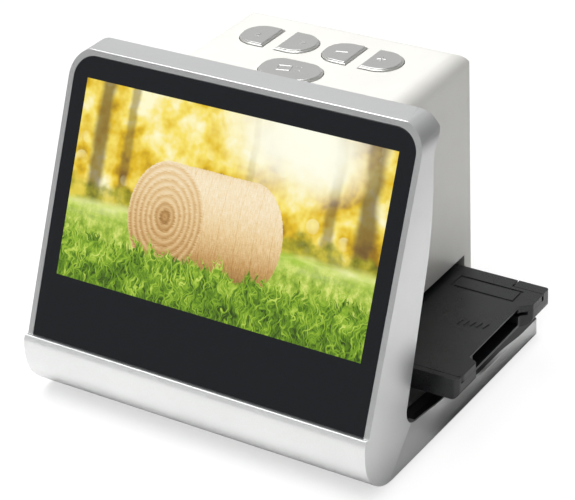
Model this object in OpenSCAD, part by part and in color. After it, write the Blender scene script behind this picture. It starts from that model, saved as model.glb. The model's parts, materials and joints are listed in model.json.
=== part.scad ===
// Scanner for strips of film: a leaning screen in a silver frame with two low side
// arms, a white body behind it that holds a camera looking down, and a black film
// holder that slides through the body over a lamp.
// +X is to the right of someone facing the screen, +Y to the rear, +Z up.
// The origin is on the surface it stands on, under the middle of its outline.

/* [Screen] */
// Thickness of the cover glass
glass_t = 1.8; // [1.2:0.1:2]
// Radius of the glass's two top corners
glass_corner_r = 7.5; // [3:0.5:12]
// Lean of the screen back from upright, in degrees
screen_tilt = 23.8; // [22:0.1:25]
// Width of the display module
display_w = 117; // [110:0.5:125]
// Height of the display module, along the slope
display_h = 72.5; // [70:0.5:78]
// Thickness of the display module
display_t = 2.3; // [1.8:0.1:2.8]
// Width of the blank glass on each side of the display module
glass_side = 2.2; // [2:0.1:5]
// Height of the blank glass above the display module
glass_head = 3.9; // [3:0.1:5]
// Height of the blank glass below the display module
glass_foot = 14.4; // [10:0.1:20]

/* [Front frame] */
// Width of the flat rim round the glass
rim_w = 1.9; // [1.5:0.1:4]
// Wall thickness of the front frame
frame_wall = 2.2; // [1.6:0.1:2.6]
// Outer radius of the frame's two top corners
frame_corner_r = 9; // [5:0.5:14]
// Depth of the flat band along the top
band_d = 9.3; // [8:0.1:12]
// Height of the band's rear edge
band_lip = 4.7; // [2.5:0.1:6]
// Radius of the chin's lower edge
chin_r = 15.5; // [12:0.5:16]
// How far the chin stands out in front of the glass
chin_proud = 1.7; // [1:0.1:2.5]
// Height of the glass's lower edge above the underside of the frame
chin_h = 21.5; // [20:0.1:26]
// Lean of the slab's rear edge, in degrees
slab_rear_lean = 18.2; // [16:0.1:20]
// Height of the crook between slab and side arm, above the underside
crook_h = 13.2; // [12:0.1:15]
// Distance of the crook behind the front of the chin
crook_y = 22.7; // [21:0.1:25]
// Radius in the crook
crook_r = 5; // [3:0.5:8]
// Height of a side arm at its rear end
arm_rear_h = 6.4; // [5:0.1:7]
// How far a side arm stands out beside the screen at its rear end
arm_flare = 1.9; // [1:0.1:2.5]
// How far the foot of a side arm tucks in under it
arm_tuck = 1.2; // [0.8:0.1:1.5]
// Radius of each side arm's outer rear corner, seen from above
arm_end_r = 4.2; // [2:0.1:5]
// Width of the black liner inside each arm
liner_w = 3.8; // [2:0.1:4]
// Width of the ledge inside each arm that the base plate rests on
ledge_w = 6.2; // [5:0.1:8]
// Thickness of that ledge
ledge_t = 1.4; // [1.2:0.1:1.6]

/* [Body] */
// Width of the white body
housing_w = 82; // [78:0.5:90]
// Height of the body's top above the surface that the scanner stands on
housing_top = 98.6; // [97:0.1:101]
// Distance of the body's rear face ahead of the arms' rear ends
housing_setback = 2.6; // [2:0.1:6]
// Wall thickness of the body
housing_wall = 2.2; // [1.8:0.1:2.6]
// Radius of the body's long top edges
housing_edge_r = 6; // [3:0.5:8]
// Radius of the body's upright rear corners
housing_corner_r = 2; // [1:0.5:6]
// Thickness of the cover behind the screen
back_cover_t = 1.2; // [1:0.1:1.4]

/* [Film holder] */
// Length of the film holder
holder_l = 146.4; // [140:0.1:156]
// Width of the film holder, across the film
holder_w = 60.4; // [56:0.1:61]
// Thickness of the closed film holder
holder_t = 7.35; // [7:0.05:8]
// Thickness of the film holder's lid
lid_t = 2.25; // [2:0.05:2.6]
// Width of the film
film_w = 35; // [34:0.5:36]
// Height of the film's channel
channel_h = 1.2; // [0.8:0.1:1.5]
// Length of one picture on the film
picture_l = 36; // [30:0.5:38]
// Width of one picture on the film
picture_w = 24; // [20:0.5:26]
// Depth of the finger notch in each end of the film holder
notch_d = 3.3; // [2:0.1:5]
// Radius of the long lower edge at each end of the film holder
holder_end_r = 3; // [1:0.1:3.5]
// Radius of the film holder's hinge pin
hinge_pin_r = 0.9; // [0.7:0.05:1]
// Distance from the crook to the guide that the holder slides in
guide_room = 11.4; // [11:0.1:20]
// Width of the guide's rails
rail_w = 2.6; // [2.4:0.1:4]
// Distance of the holder's rear edge ahead of the body's rear face
holder_setback = 9.4; // [8.8:0.1:12]

/* [Lamp and camera] */
// Height of the lamp box
light_box_h = 14.6; // [12:0.1:16]
// Height of the camera's hood
hood_h = 36; // [30:0.5:40]
// Radius of the lens barrel
barrel_r = 9; // [7:0.1:10]
// Height of the main board above the surface that the scanner stands on
main_board_z = 56; // [52:0.5:60]

/* [Keys] */
// Width of a key, from front to rear
key_w = 13.9; // [12:0.1:15]
// Length of one half of a divided key
half_key_l = 11.5; // [10:0.1:11.8]
// Gap between the two halves of a divided key
key_gap = 4.5; // [3.4:0.1:5]
// Distance between the middles of the two divided keys
key_pitch = 30.6; // [30:0.1:32]
// Length of the single key in front
scan_key_l = 21.5; // [18:0.1:24]
// Width of the single key in front
scan_key_w = 13.4; // [12:0.1:14]
// Distance from the body's rear face to the middle of the divided keys
key_inset = 19.6; // [18:0.1:22]
// Distance from the divided keys to the single key
key_row_gap = 18.1; // [16.6:0.1:19]
// How far the divided keys' middle lies to the left of the scanner's middle
key_shift = 2; // [0:0.1:3]
// How far the single key's middle lies to the left of the scanner's middle
scan_key_shift = 1.8; // [0:0.1:3]
// How far the keys stand out of the body
key_proud = 0.9; // [0.8:0.1:2]
// Travel of the keys
key_travel = 0.5; // [0.3:0.05:0.5]

/* [Base] */
// Thickness of the base plate
base_t = 3.4; // [3:0.1:4]
// Height of the rubber feet below the frame
foot_h = 1; // [0.6:0.1:2]
// Radius of the rubber feet
foot_r = 5; // [3:0.1:6]

/* [Hidden] */
$fn = 48;
eps = 0.01;
// Clearances: of a sliding piece, of a key in its hole, and between fixed pieces
slide_gap = 0.3;
key_gap_fit = 0.25;
fit_gap = 0.3;
// Clearance of the hinge pin in the lid, and of the magnets in their pockets
pin_clearance = 0.05;

// Directions on the leaning screen: up its slope and into it
up = [sin(screen_tilt), cos(screen_tilt)];
into = [cos(screen_tilt), -sin(screen_tilt)];

// Side outline of the front frame, as deep as the body and what slides through it need
glass_w = display_w + 2 * glass_side;
glass_h = glass_foot + display_h + glass_head;
body_d = crook_y + guide_room + rail_w + slide_gap + holder_w + holder_setback + housing_setback;
frame_w = glass_w + 2 * rim_w;
front_y = -body_d / 2;
rear_y = body_d / 2;
under_z = foot_h;
ledge_edge = [front_y + 1.05, under_z + chin_h + chin_proud * up[0]];
screen_foot = ledge_edge + chin_proud * into;
band_front = screen_foot + (glass_h + rim_w) * up;
band_rear = band_front + [band_d, 0.3];
// The slab is at its thinnest in its neck, where it just holds the display and the cover
glass_ledge_t = 0.9;
display_depth = glass_t + glass_ledge_t;
bracket_t = 0.5;
bracket_depth = display_depth + display_t;
back_cover_inset = 0.5;
slab_t = bracket_depth + bracket_t + slide_gap + back_cover_t + back_cover_inset;
neck_z = band_rear[1] - 10.4;
neck = [screen_foot[0] + (neck_z - screen_foot[1]) * tan(screen_tilt) + slab_t / cos(screen_tilt) - 0.3,
    neck_z];
crook = [front_y + crook_y, under_z + crook_h];
bend_z = neck[1] - 23.8;
bend = [crook[0] + (bend_z - crook[1]) * tan(slab_rear_lean), bend_z];
// The top of a side arm falls from its shoulder to its low rear part
arm_shoulder = [crook[0] + 25, under_z + 0.83 * crook_h];
arm_dip = [crook[0] + 46, under_z + arm_rear_h + 0.2];
// Each corner is its place and its radius, counter-clockwise seen from the right
chin_corner = [front_y, under_z, chin_r];
crown_corner = [front_y, ledge_edge[1] - 2.25, 8.5];
frame_outline = [
    chin_corner,
    [rear_y, under_z, 2],
    [rear_y - 0.3, under_z + arm_rear_h, 2],
    [arm_dip[0], arm_dip[1], 30],
    [arm_shoulder[0], arm_shoulder[1], 30],
    [crook[0], crook[1], crook_r],
    [bend[0], bend[1], 100],
    [neck[0], neck[1], 6],
    [band_rear[0], band_rear[1] - band_lip, 0.8],
    [band_rear[0], band_rear[1], 0.5],
    [band_front[0], band_front[1], 0.5],
    [screen_foot[0], screen_foot[1], 0],
    [ledge_edge[0], ledge_edge[1], 0.4],
    crown_corner
];
inner_half = frame_w / 2 - frame_wall;
display_foot = glass_foot;
display_top = display_foot + display_h;
bracket_screw_x = 40;
bracket_screw_out = [4.5, 1.8];

// Base
base_z = under_z + base_t;
lap_z = under_z + ledge_t;
plate_half = inner_half - 1.7;
plate_front = front_y + 16.5;
lap_front = plate_front + 4.5;
plate_rear = rear_y - 1.7;
liner_front = front_y + crook_y + 2.2;
liner_drop = 0.4;
ledge_in = inner_half - ledge_w;
foot_x = 45;
foot_ys = [lap_front + 7, plate_rear - 7];
base_screw_x = ledge_in + 2.4;
base_screw_ys = [lap_front + 9, plate_rear - 12];

// Body
housing_half = housing_w / 2;
housing_rear = rear_y - housing_setback;
housing_in = housing_half - housing_wall;
housing_rear_in = housing_rear - housing_wall;
skin_z = housing_top - housing_wall;

// Film holder and its guide
holder_z = base_z + light_box_h + slide_gap;
holder_top = holder_z + holder_t;
split_z = holder_top - lid_t;
holder_rear = housing_rear - holder_setback;
holder_front = holder_rear - holder_w;
holder_mid = (holder_front + holder_rear) / 2;
holder_half = holder_l / 2;
channel_w = film_w + 0.6;
channel_z = split_z - channel_h;
notch_w = film_w - 1;
rim_front_w = 1.9;
rim_drop = 0.1;
// Gap between the holder's lid and the rim and ears that it closes against
lid_fit = 0.15;
// Pocket that runs in from each finger notch, between a thin lip on the lid and a floor
pocket_d = 6;
pocket_floor = 1;
pocket_lip = 0.7;
// Thickness left over the hinge pin's right end
pin_cover = 2.4;
hinge_r = lid_t - 0.2;
hinge_y = holder_rear - hinge_r - 0.9;
hinge_z = holder_top - hinge_r;
ear_l = 10.8;
ear_w = 4;
magnet_r = 1.95;
magnet_t = 1.1;
magnet_pocket = 1.2;
lid_gap = 1.8;
guide_z = holder_top + lid_gap;
guide_t = 1.8;
guide_half = housing_in - 0.55;
rail_front = holder_front - slide_gap - rail_w;
rail_rear = holder_rear + slide_gap + rail_w;
slot_rear = rail_rear + 0.6;
rib_front = rail_rear + 0.4;
rib_y = (rib_front + housing_rear_in) / 2;

// Lamp
diffuser_t = 1.5;
light_top = base_z + light_box_h;
board_t = 1.6;
lamp_board_w = 46;
lamp_board_d = 34;

// Camera
hood_w = 34;
hood_d = 30;
hood_wall = 1.6;
hood_z = guide_z + guide_t;
hood_top = hood_z + hood_h;
barrel_l = 22;
barrel_z = hood_top - 8;
sensor_z = barrel_z + barrel_l;
sensor_board_w = 30;
sensor_size = [8, 7, 0.9];

// Main board and its sockets
board_half = housing_in - 0.5;
board_front = -13;
board_rear = housing_rear_in - fit_gap;
shelf_w = 2.6;
shelf_h = 3;
board_top = main_board_z + board_t;
usb_x = 24;
hdmi_x = 9;
card_x = -16;
usb_size = [9, 3.2];
hdmi_size = [11.2, 3.4];
card_size = [26, 2.6];

chip_size = [12, 12, 1.2];
memory_size = [8, 12, 1];
cable_w = 14;
cable_t = 0.35;
cable_lap = 6;
cable_rise = 1.3;

// Keys
key_hole_y = housing_rear - key_inset;
scan_key_y = key_hole_y - key_row_gap;
key_top = housing_top + key_proud;
flange_top = skin_z - 0.05;
flange_t = 1.1;
flange_out = 0.9;
key_edge = 0.5;
stem_r = 1.6;
stem_len = 1.35;
stem_z = flange_top - flange_t - stem_len;
switch_h = 3.1;
switch_z = stem_z - key_travel - 0.05 - switch_h;
key_board_z = switch_z - board_t;
half_key_x = half_key_l / 2 + key_gap / 2;
post_r = 2.2;
post_x = housing_in - 4.5;
post_ys = [key_hole_y - 24, key_hole_y + 12];

// ---- Outlines -------------------------------------------------------------------

function unit(v) = v / norm(v);
function flat(lists) = [for (list = lists) for (item = list) item];
function spot(c) = [c[0], c[1]];

// The points that round a corner p between its neighbours a and b with radius r
function corner_arc(a, p, b, r) =
    let (
        u = unit(a - p),
        w = unit(b - p),
        half = acos(max(-1, min(1, u * w))) / 2,
        centre = p + unit(u + w) * r / sin(half),
        from = p + u * r / tan(half) - centre,
        a0 = atan2(from[1], from[0]),
        side = cross(u, w) > 0 ? -1 : 1,
        sweep = side * (180 - 2 * half),
        steps = max(2, ceil(abs(sweep) / (r > 20 ? 2 : 7)))
    )
    [for (i = [0:steps]) centre + r * [cos(a0 + sweep * i / steps), sin(a0 + sweep * i / steps)]];

// A closed outline of [x, y, radius] corners as points
function rounded(corners) =
    let (n = len(corners))
    flat([for (i = [0:n - 1])
        let (p = spot(corners[i]), r = corners[i][2])
        r <= 0 ? [p] : corner_arc(spot(corners[(i + n - 1) % n]), p, spot(corners[(i + 1) % n]), r)]);

// The same outline moved inwards by d, for corners listed counter-clockwise
function inset(corners, d) =
    let (n = len(corners))
    [for (i = [0:n - 1])
        let (
            p = spot(corners[i]),
            e = unit(p - spot(corners[(i + n - 1) % n])),
            f = unit(spot(corners[(i + 1) % n]) - p),
            m = [-e[1], e[0]],
            k = [-f[1], f[0]],
            q = p + d * (m + k) / (1 + m * k),
            r = cross(e, f) > 0 ? max(0, corners[i][2] - d) : corners[i][2] + d
        )
        [q[0], q[1], r]];

// Four corners of a rectangle, with the radii of its two lower and two upper corners
function box_corners(x0, y0, x1, y1, low_r, high_r) =
    [[x0, y0, low_r], [x1, y0, low_r], [x1, y1, high_r], [x0, y1, high_r]];

// ---- Placing --------------------------------------------------------------------

// A side outline (y, z) made w wide about the middle
module across(w) {
    rotate([90, 0, 90])
        linear_extrude(height = w, center = true)
            children();
}

// A front outline (x, z) carried from y0 to y1
module along(y0, y1) {
    translate([0, y1, 0])
        rotate([90, 0, 0])
            linear_extrude(height = y1 - y0)
                children();
}

// A plan (x, y) carried from z0 to z1
module upright(z0, z1) {
    translate([0, 0, z0])
        linear_extrude(height = z1 - z0)
            children();
}

// A box between two corners
module block(low, high) {
    translate(low)
        cube(high - low);
}

// Pieces drawn flat on the screen (x, up the slope, out of it), set on its slope
module on_screen() {
    translate([0, screen_foot[0], screen_foot[1]])
        rotate([90 - screen_tilt, 0, 0])
            children();
}

module at_four(x, ys) {
    for (side = [-1, 1])
        for (y = ys)
            translate([side * x, y, 0])
                children();
}

// ---- Front frame and screen -------------------------------------------------------

module glass_plan(grow) {
    polygon(rounded(box_corners(-glass_w / 2 - grow, 0, glass_w / 2 + grow, glass_h + grow, 0,
        glass_corner_r + grow)));
}

module bracket_spots() {
    for (side = [-1, 1]) {
        translate([side * bracket_screw_x, display_foot - bracket_screw_out[0]])
            children();
        translate([side * bracket_screw_x, display_top + bracket_screw_out[1]])
            children();
    }
}

// The hollow behind the front wall, open to the rear, with the chin's own hollow
module frame_hollow() {
    wall_foot = screen_foot + display_depth * into;
    top_z = band_rear[1] - frame_wall;
    wall_top = wall_foot + up * (top_z - wall_foot[1]) / up[1];
    chin_outline = [
        chin_corner,
        [front_y + crook_y, under_z, 0],
        [front_y + crook_y, ledge_edge[1], 0],
        [ledge_edge[0], ledge_edge[1], 0],
        [front_y, crown_corner[1], 0]
    ];
    intersection() {
        across(2 * inner_half)
            union() {
                polygon([
                    wall_foot, wall_top, [rear_y + 1, top_z], [rear_y + 1, under_z - 1],
                    [lap_front, under_z - 1], [lap_front, lap_z], [plate_front - fit_gap, lap_z]
                ]);
                polygon(rounded(inset(chin_outline, frame_wall)));
            }
        along(front_y, rear_y + 2)
            polygon(rounded(box_corners(-inner_half, under_z - 2, inner_half, top_z, 0,
                frame_corner_r - frame_wall)));
    }
}

// Section of a side arm's outer skin, out beyond the slab's side and tucked in at its foot
module arm_section(out, tuck) {
    half = frame_w / 2;
    top = under_z + crook_h + 2;
    swell = 4;
    polygon(concat(
        [[half - 2, top], [half - 2, under_z]],
        [for (i = [0:8])
            let (a = 90 - 90 * i / 8)
            [half + out - tuck * (1 - cos(a)), under_z + swell * (1 - sin(a))]],
        [[half, top]]
    ));
}

// The outer skin of both side arms, from a slanting crease beside the chin to the rear
module arm_skins() {
    crease_y = front_y + 13.9;
    crease_slant = 1.1;
    full_y = crook[0] + 36;
    for (side = [0, 1])
        mirror([side, 0, 0]) {
            hull() {
                multmatrix([[1, 0, 0, 0], [0, 1, crease_slant, -crease_slant * under_z], [0, 0, 1, 0]])
                    along(crease_y, crease_y + eps)
                        arm_section(0, 0);
                along(full_y, full_y + eps)
                    arm_section(0.8 * arm_flare, arm_tuck);
            }
            hull() {
                along(full_y, full_y + eps)
                    arm_section(0.8 * arm_flare, arm_tuck);
                along(rear_y - eps, rear_y)
                    arm_section(arm_flare, arm_tuck);
            }
        }
}

module front_frame() {
    color("silver")
        difference() {
            union() {
                difference() {
                    intersection() {
                        across(frame_w + 2 * arm_flare + 1)
                            polygon(rounded(frame_outline));
                        union() {
                            along(front_y - 1, rear_y + 1)
                                polygon(rounded(box_corners(-frame_w / 2, under_z - 1, frame_w / 2,
                                    band_rear[1], 0, frame_corner_r)));
                            arm_skins();
                        }
                        upright(under_z - 1, band_rear[1] + 1)
                            polygon(rounded(box_corners(-frame_w / 2 - arm_flare, front_y - 1,
                                frame_w / 2 + arm_flare, rear_y, 0, arm_end_r)));
                    }
                    frame_hollow();
                }
                for (side = [-1, 1])
                    block([side > 0 ? ledge_in : -inner_half - 0.5, lap_front - 1, under_z],
                        [side > 0 ? inner_half + 0.5 : -ledge_in, plate_rear, lap_z]);
            }
            on_screen() {
                translate([0, 0, -glass_t])
                    linear_extrude(height = glass_t + 1)
                        glass_plan(0.05);
                translate([-display_w / 2 + 2, display_foot + 2, -display_depth - 1])
                    cube([display_w - 4, display_h - 4, display_depth]);
                translate([0, 0, -display_depth - 1])
                    bracket_spots()
                        cylinder(r = 0.9, h = glass_ledge_t + 1.2);
            }
            at_four(base_screw_x, base_screw_ys) {
                translate([0, 0, under_z - 1])
                    cylinder(r = 1.1, h = ledge_t + 2);
                translate([0, 0, under_z - 1])
                    cylinder(r = 2, h = 1.8);
            }
        }
}

module screen_glass() {
    color("black")
        on_screen()
            translate([0, 0, -glass_t])
                linear_extrude(height = glass_t)
                    glass_plan(0);
}

module display_panel() {
    color("dimgray")
        on_screen() {
            translate([-display_w / 2, display_foot, -bracket_depth])
                cube([display_w, display_h, display_t]);
            translate([-display_w / 2 + 2.3, display_foot + 2.3, -display_depth])
                cube([display_w - 4.6, display_h - 4.6, glass_ledge_t]);
        }
}

module display_bracket() {
    color("lightsteelblue")
        on_screen() {
            translate([0, 0, -bracket_depth - bracket_t])
                linear_extrude(height = bracket_t)
                    difference() {
                        union() {
                            translate([-display_w / 2, display_foot])
                                square([display_w, display_h]);
                            bracket_spots()
                                circle(r = 2.4);
                            for (side = [-1, 1])
                                translate([side * bracket_screw_x - 2.4,
                                        display_foot - bracket_screw_out[0]])
                                    square([4.8, bracket_screw_out[0] + 0.5]);
                        }
                        translate([-display_w / 2 + 14, display_foot + 14])
                            square([display_w - 28, display_h - 26]);
                        bracket_spots()
                            circle(r = 0.9);
                    }
            // Spacers that hold the bracket's tabs off the frame
            translate([0, 0, -bracket_depth])
                linear_extrude(height = display_t)
                    bracket_spots()
                        difference() {
                            circle(r = 1.6);
                            circle(r = 0.9);
                        }
        }
}

module bracket_screws() {
    color("gray")
        on_screen()
            bracket_spots() {
                translate([0, 0, -bracket_depth - bracket_t - 0.5])
                    cylinder(r = 1.5, h = 0.5);
                translate([0, 0, -bracket_depth - bracket_t])
                    cylinder(r = 0.9, h = bracket_t + display_t + glass_ledge_t - 0.1);
            }
}

// The slab's rear face from the crook to the top band, d inside the frame's rear edge
function slab_rear_path(d, top_z) =
    let (c = inset(frame_outline, d), crook_at = spot(c[5]), bend_at = spot(c[6]),
        neck_at = spot(c[7]), lip_at = spot(c[8]))
    concat(
        [crook_at],
        corner_arc(crook_at, bend_at, neck_at, c[6][2]),
        corner_arc(bend_at, neck_at, lip_at, c[7][2]),
        [lip_at, [lip_at[0], top_z]]
    );

function backwards(points) = [for (i = [len(points) - 1:-1:0]) points[i]];

module screen_back_cover() {
    cover_half = inner_half - 0.1;
    cover_top = band_rear[1] - frame_wall - 0.1;
    cable_gap = 30;
    color("whitesmoke")
        difference() {
            intersection() {
                across(2 * cover_half)
                    polygon(concat(
                        slab_rear_path(back_cover_inset, cover_top),
                        backwards(slab_rear_path(back_cover_inset + back_cover_t, cover_top))
                    ));
                along(front_y, rear_y)
                    polygon(rounded(box_corners(-cover_half, 0, cover_half, cover_top, 0,
                        frame_corner_r - frame_wall)));
            }
            block([-cable_gap, bend[0] - 20, main_board_z - 14],
                [cable_gap, bend[0] + 6, main_board_z + 14]);
        }
}

// ---- Body -------------------------------------------------------------------------

module housing_form(d) {
    half = housing_half - d;
    back = housing_rear - d;
    top = housing_top - d;
    intersection() {
        along(front_y, back)
            polygon(rounded(box_corners(-half, base_z - d, half, top, 0, housing_edge_r - d)));
        across(2 * housing_half + 2)
            polygon(concat(
                slab_rear_path(back_cover_inset + d, housing_top + 20),
                backwards(corner_arc([back, base_z], [back, top], [0, top], housing_edge_r - d)),
                [[back, base_z - d], [crook[0] - d, base_z - d]]
            ));
        upright(base_z - d, top)
            polygon(rounded([
                [-half, front_y, 0], [half, front_y, 0],
                [half, back, housing_corner_r - min(d, 2)], [-half, back, housing_corner_r - min(d, 2)]
            ]));
    }
}

module half_key_plan(grow) {
    r = key_w / 2 + grow;
    centre = half_key_l / 2 - key_w / 2;
    intersection() {
        union() {
            translate([-centre, 0])
                circle(r = r);
            translate([-centre, -r])
                square([half_key_l, 2 * r]);
        }
        translate([-half_key_l, -r])
            square([1.5 * half_key_l + grow, 2 * r]);
    }
}

module scan_key_plan(grow) {
    r = scan_key_w / 2 + grow;
    flat_half = (scan_key_l - scan_key_w) / 2;
    for (side = [-1, 1])
        translate([side * flat_half, 0])
            circle(r = r);
    translate([-flat_half, -r])
        square([2 * flat_half, 2 * r]);
}

// The four half keys and the single key: pair is -1 or 1, half is -1 or 1
module at_half_key(pair, half) {
    translate([pair * key_pitch / 2 + half * half_key_x - key_shift, key_hole_y, 0])
        mirror([half > 0 ? 1 : 0, 0, 0])
            children();
}

module at_scan_key() {
    translate([-scan_key_shift, scan_key_y, 0])
        children();
}

module key_places() {
    for (pair = [-1, 1])
        for (half = [-1, 1])
            at_half_key(pair, half)
                children();
    at_scan_key()
        children();
}

module port_window(x, size) {
    block([x - size[0] / 2 - 0.2, housing_rear_in - 2, board_top - 0.2],
        [x + size[0] / 2 + 0.2, housing_rear + 1, board_top + size[1] + 0.2]);
}

module upper_housing() {
    color("white")
        difference() {
            union() {
                difference() {
                    housing_form(0);
                    difference() {
                        housing_form(housing_wall);
                        // Shelves for the main board
                        for (side = [-1, 1])
                            block([side > 0 ? housing_in - shelf_w : -housing_in - 1, board_front + 4,
                                    main_board_z - shelf_h],
                                [side > 0 ? housing_in + 1 : -housing_in + shelf_w, board_rear,
                                    main_board_z]);
                    }
                    // Open underside and the slot that the film holder slides through
                    block([-housing_half - 1, front_y - 1, base_z - 5],
                        [housing_half + 1, slot_rear, guide_z]);
                }
                at_four(post_x, post_ys)
                    translate([0, 0, key_board_z + board_t])
                        cylinder(r = post_r, h = skin_z - key_board_z - board_t + eps);
                // Ribs that take the screws from the base plate
                for (side = [-1, 1])
                    block([side * 20 - 3, rib_front, base_z],
                        [side * 20 + 3, housing_rear_in + eps, guide_z + 8]);
            }
            for (pair = [-1, 1])
                for (half = [-1, 1])
                    at_half_key(pair, half)
                        upright(skin_z - 1, housing_top + 1)
                            half_key_plan(key_gap_fit);
            at_scan_key()
                upright(skin_z - 1, housing_top + 1)
                    scan_key_plan(key_gap_fit);
            at_four(post_x, post_ys)
                translate([0, 0, key_board_z])
                    cylinder(r = 0.8, h = 6.5);
            port_window(usb_x, usb_size);
            port_window(hdmi_x, hdmi_size);
            port_window(card_x, card_size);
            for (side = [-1, 1]) {
                translate([side * 20, rib_y, base_z - 1])
                    cylinder(r = 0.9, h = 9);
                translate([side * (housing_in - 1.3), 0, main_board_z - shelf_h - 1])
                    for (y = [board_front + 9, board_rear - 7])
                        translate([0, y, 0])
                            cylinder(r = 0.6, h = shelf_h + 2);
            }
        }
}

// ---- Base -------------------------------------------------------------------------

module base_plate() {
    color("gray")
        difference() {
            union() {
                block([-plate_half, plate_front, lap_z], [plate_half, plate_rear, base_z]);
                block([-ledge_in + fit_gap, lap_front + fit_gap, under_z],
                    [ledge_in - fit_gap, plate_rear, lap_z + eps]);
            }
            at_four(foot_x, foot_ys)
                translate([0, 0, under_z - 1])
                    cylinder(r = foot_r, h = 1.5);
            at_four(base_screw_x, base_screw_ys)
                translate([0, 0, under_z])
                    cylinder(r = 0.9, h = base_t - 0.6);
            for (side = [-1, 1]) {
                translate([side * 20, rib_y, under_z - 1])
                    cylinder(r = 1.1, h = base_t + 2);
                translate([side * 20, rib_y, under_z - 1])
                    cylinder(r = 2.2, h = 2.2);
            }
        }
}

// Liners that stand on the base plate inside the arms and follow the tops of the arms
module arm_liners() {
    liner_out = inner_half - 0.1;
    color("dimgray")
        for (side = [-1, 1])
            translate([side * (liner_out - liner_w / 2), 0, 0])
                across(liner_w)
                    intersection() {
                        polygon(rounded(inset(frame_outline, liner_drop)));
                        translate([liner_front, base_z])
                            square([plate_rear - liner_front, crook[1] - liner_drop - base_z]);
                    }
}

module rubber_feet() {
    color("dimgray")
        at_four(foot_x, foot_ys)
            cylinder(r = foot_r - 0.05, h = under_z + 0.5);
}

module base_screws() {
    color("gray") {
        at_four(base_screw_x, base_screw_ys)
            translate([0, 0, under_z + 0.2]) {
                cylinder(r = 1.9, h = 0.6);
                cylinder(r = 0.9, h = base_t - 0.9);
            }
        for (side = [-1, 1])
            translate([side * 20, rib_y, under_z + 0.3]) {
                cylinder(r = 2, h = 0.9);
                cylinder(r = 0.9, h = base_t + 6);
            }
    }
}

// ---- Lamp -------------------------------------------------------------------------

module light_box() {
    window_x = picture_l / 2 + 5;
    window_y = picture_w / 2 + 5;
    color("dimgray")
        difference() {
            block([-guide_half, rail_front, base_z], [guide_half, rail_rear, light_top]);
            block([-window_x - 2, holder_mid - window_y - 2, base_z - 1],
                [window_x + 2, holder_mid + window_y + 2, light_top - diffuser_t - 1]);
            block([-window_x, holder_mid - window_y, base_z],
                [window_x, holder_mid + window_y, light_top + 1]);
            block([-window_x - 1.5, holder_mid - window_y - 1.5, light_top - diffuser_t],
                [window_x + 1.5, holder_mid + window_y + 1.5, light_top + 1]);
            at_four(guide_half - 4, [rail_front + rail_w / 2, rail_rear - rail_w / 2])
                translate([0, 0, light_top - 6])
                    cylinder(r = 0.7, h = 7);
        }
}

module light_diffuser() {
    window_x = picture_l / 2 + 6.4;
    window_y = picture_w / 2 + 6.4;
    color("ivory")
        block([-window_x, holder_mid - window_y, light_top - diffuser_t],
            [window_x, holder_mid + window_y, light_top]);
}

module light_board() {
    color("darkgreen")
        block([-lamp_board_w / 2, holder_mid - lamp_board_d / 2, base_z],
            [lamp_board_w / 2, holder_mid + lamp_board_d / 2, base_z + board_t]);
}

module light_leds() {
    color("lightyellow")
        for (x = [-15:10:15])
            for (y = [-9, 0, 9])
                translate([x - 1.5, holder_mid + y - 1.5, base_z + board_t])
                    cube([3, 3, 1]);
}

// ---- Guide and camera ---------------------------------------------------------------

module holder_guide() {
    color("dimgray")
        difference() {
            union() {
                block([-guide_half, rail_front, guide_z], [guide_half, rail_rear, guide_z + guide_t]);
                for (y = [rail_front, rail_rear - rail_w])
                    block([-guide_half, y, light_top], [guide_half, y + rail_w, guide_z + eps]);
            }
            block([-picture_l / 2 - 1, holder_mid - picture_w / 2 - 1, guide_z - 1],
                [picture_l / 2 + 1, holder_mid + picture_w / 2 + 1, guide_z + guide_t + 1]);
            at_four(guide_half - 4, [rail_front + rail_w / 2, rail_rear - rail_w / 2])
                translate([0, 0, light_top - 1])
                    cylinder(r = 0.8, h = guide_z - light_top + guide_t + 2);
        }
}

module guide_screws() {
    color("gray")
        at_four(guide_half - 4, [rail_front + rail_w / 2, rail_rear - rail_w / 2]) {
            translate([0, 0, guide_z + guide_t])
                cylinder(r = 1.6, h = 0.9);
            translate([0, 0, light_top - 5.5])
                cylinder(r = 0.7, h = guide_z + guide_t - light_top + 5.6);
        }
}

module camera_hood() {
    color("dimgray")
        difference() {
            union() {
                block([-hood_w / 2 - 4, holder_mid - hood_d / 2, hood_z],
                    [hood_w / 2 + 4, holder_mid + hood_d / 2, hood_z + 2]);
                block([-hood_w / 2, holder_mid - hood_d / 2, hood_z],
                    [hood_w / 2, holder_mid + hood_d / 2, hood_top]);
            }
            block([-hood_w / 2 + hood_wall, holder_mid - hood_d / 2 + hood_wall, hood_z - 1],
                [hood_w / 2 - hood_wall, holder_mid + hood_d / 2 - hood_wall, hood_top - 3]);
            translate([0, holder_mid, hood_top - 4])
                cylinder(r = barrel_r + 0.05, h = 5);
        }
}

module lens_barrel() {
    lens_r = barrel_r - 1.6;
    color("dimgray")
        translate([0, holder_mid, 0])
            difference() {
                union() {
                    translate([0, 0, barrel_z])
                        cylinder(r = barrel_r, h = barrel_l - 1);
                    translate([0, 0, hood_top])
                        cylinder(r = barrel_r + 1.5, h = 1.2);
                    translate([0, 0, sensor_z - 2])
                        cylinder(r = barrel_r + 3, h = 2);
                }
                translate([0, 0, barrel_z - 1])
                    cylinder(r = lens_r, h = 5);
                translate([0, 0, barrel_z])
                    cylinder(r = lens_r - 1.4, h = barrel_l + 1);
            }
}

module lens_element() {
    lens_r = barrel_r - 1.6;
    ball_r = 3 * lens_r;
    drop = sqrt(ball_r * ball_r - lens_r * lens_r);
    color("lightblue")
        translate([0, holder_mid, barrel_z + 0.6])
            rotate_extrude()
                intersection() {
                    translate([0, ball_r])
                        circle(r = ball_r);
                    square([lens_r, 3.4]);
                }
}

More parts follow.
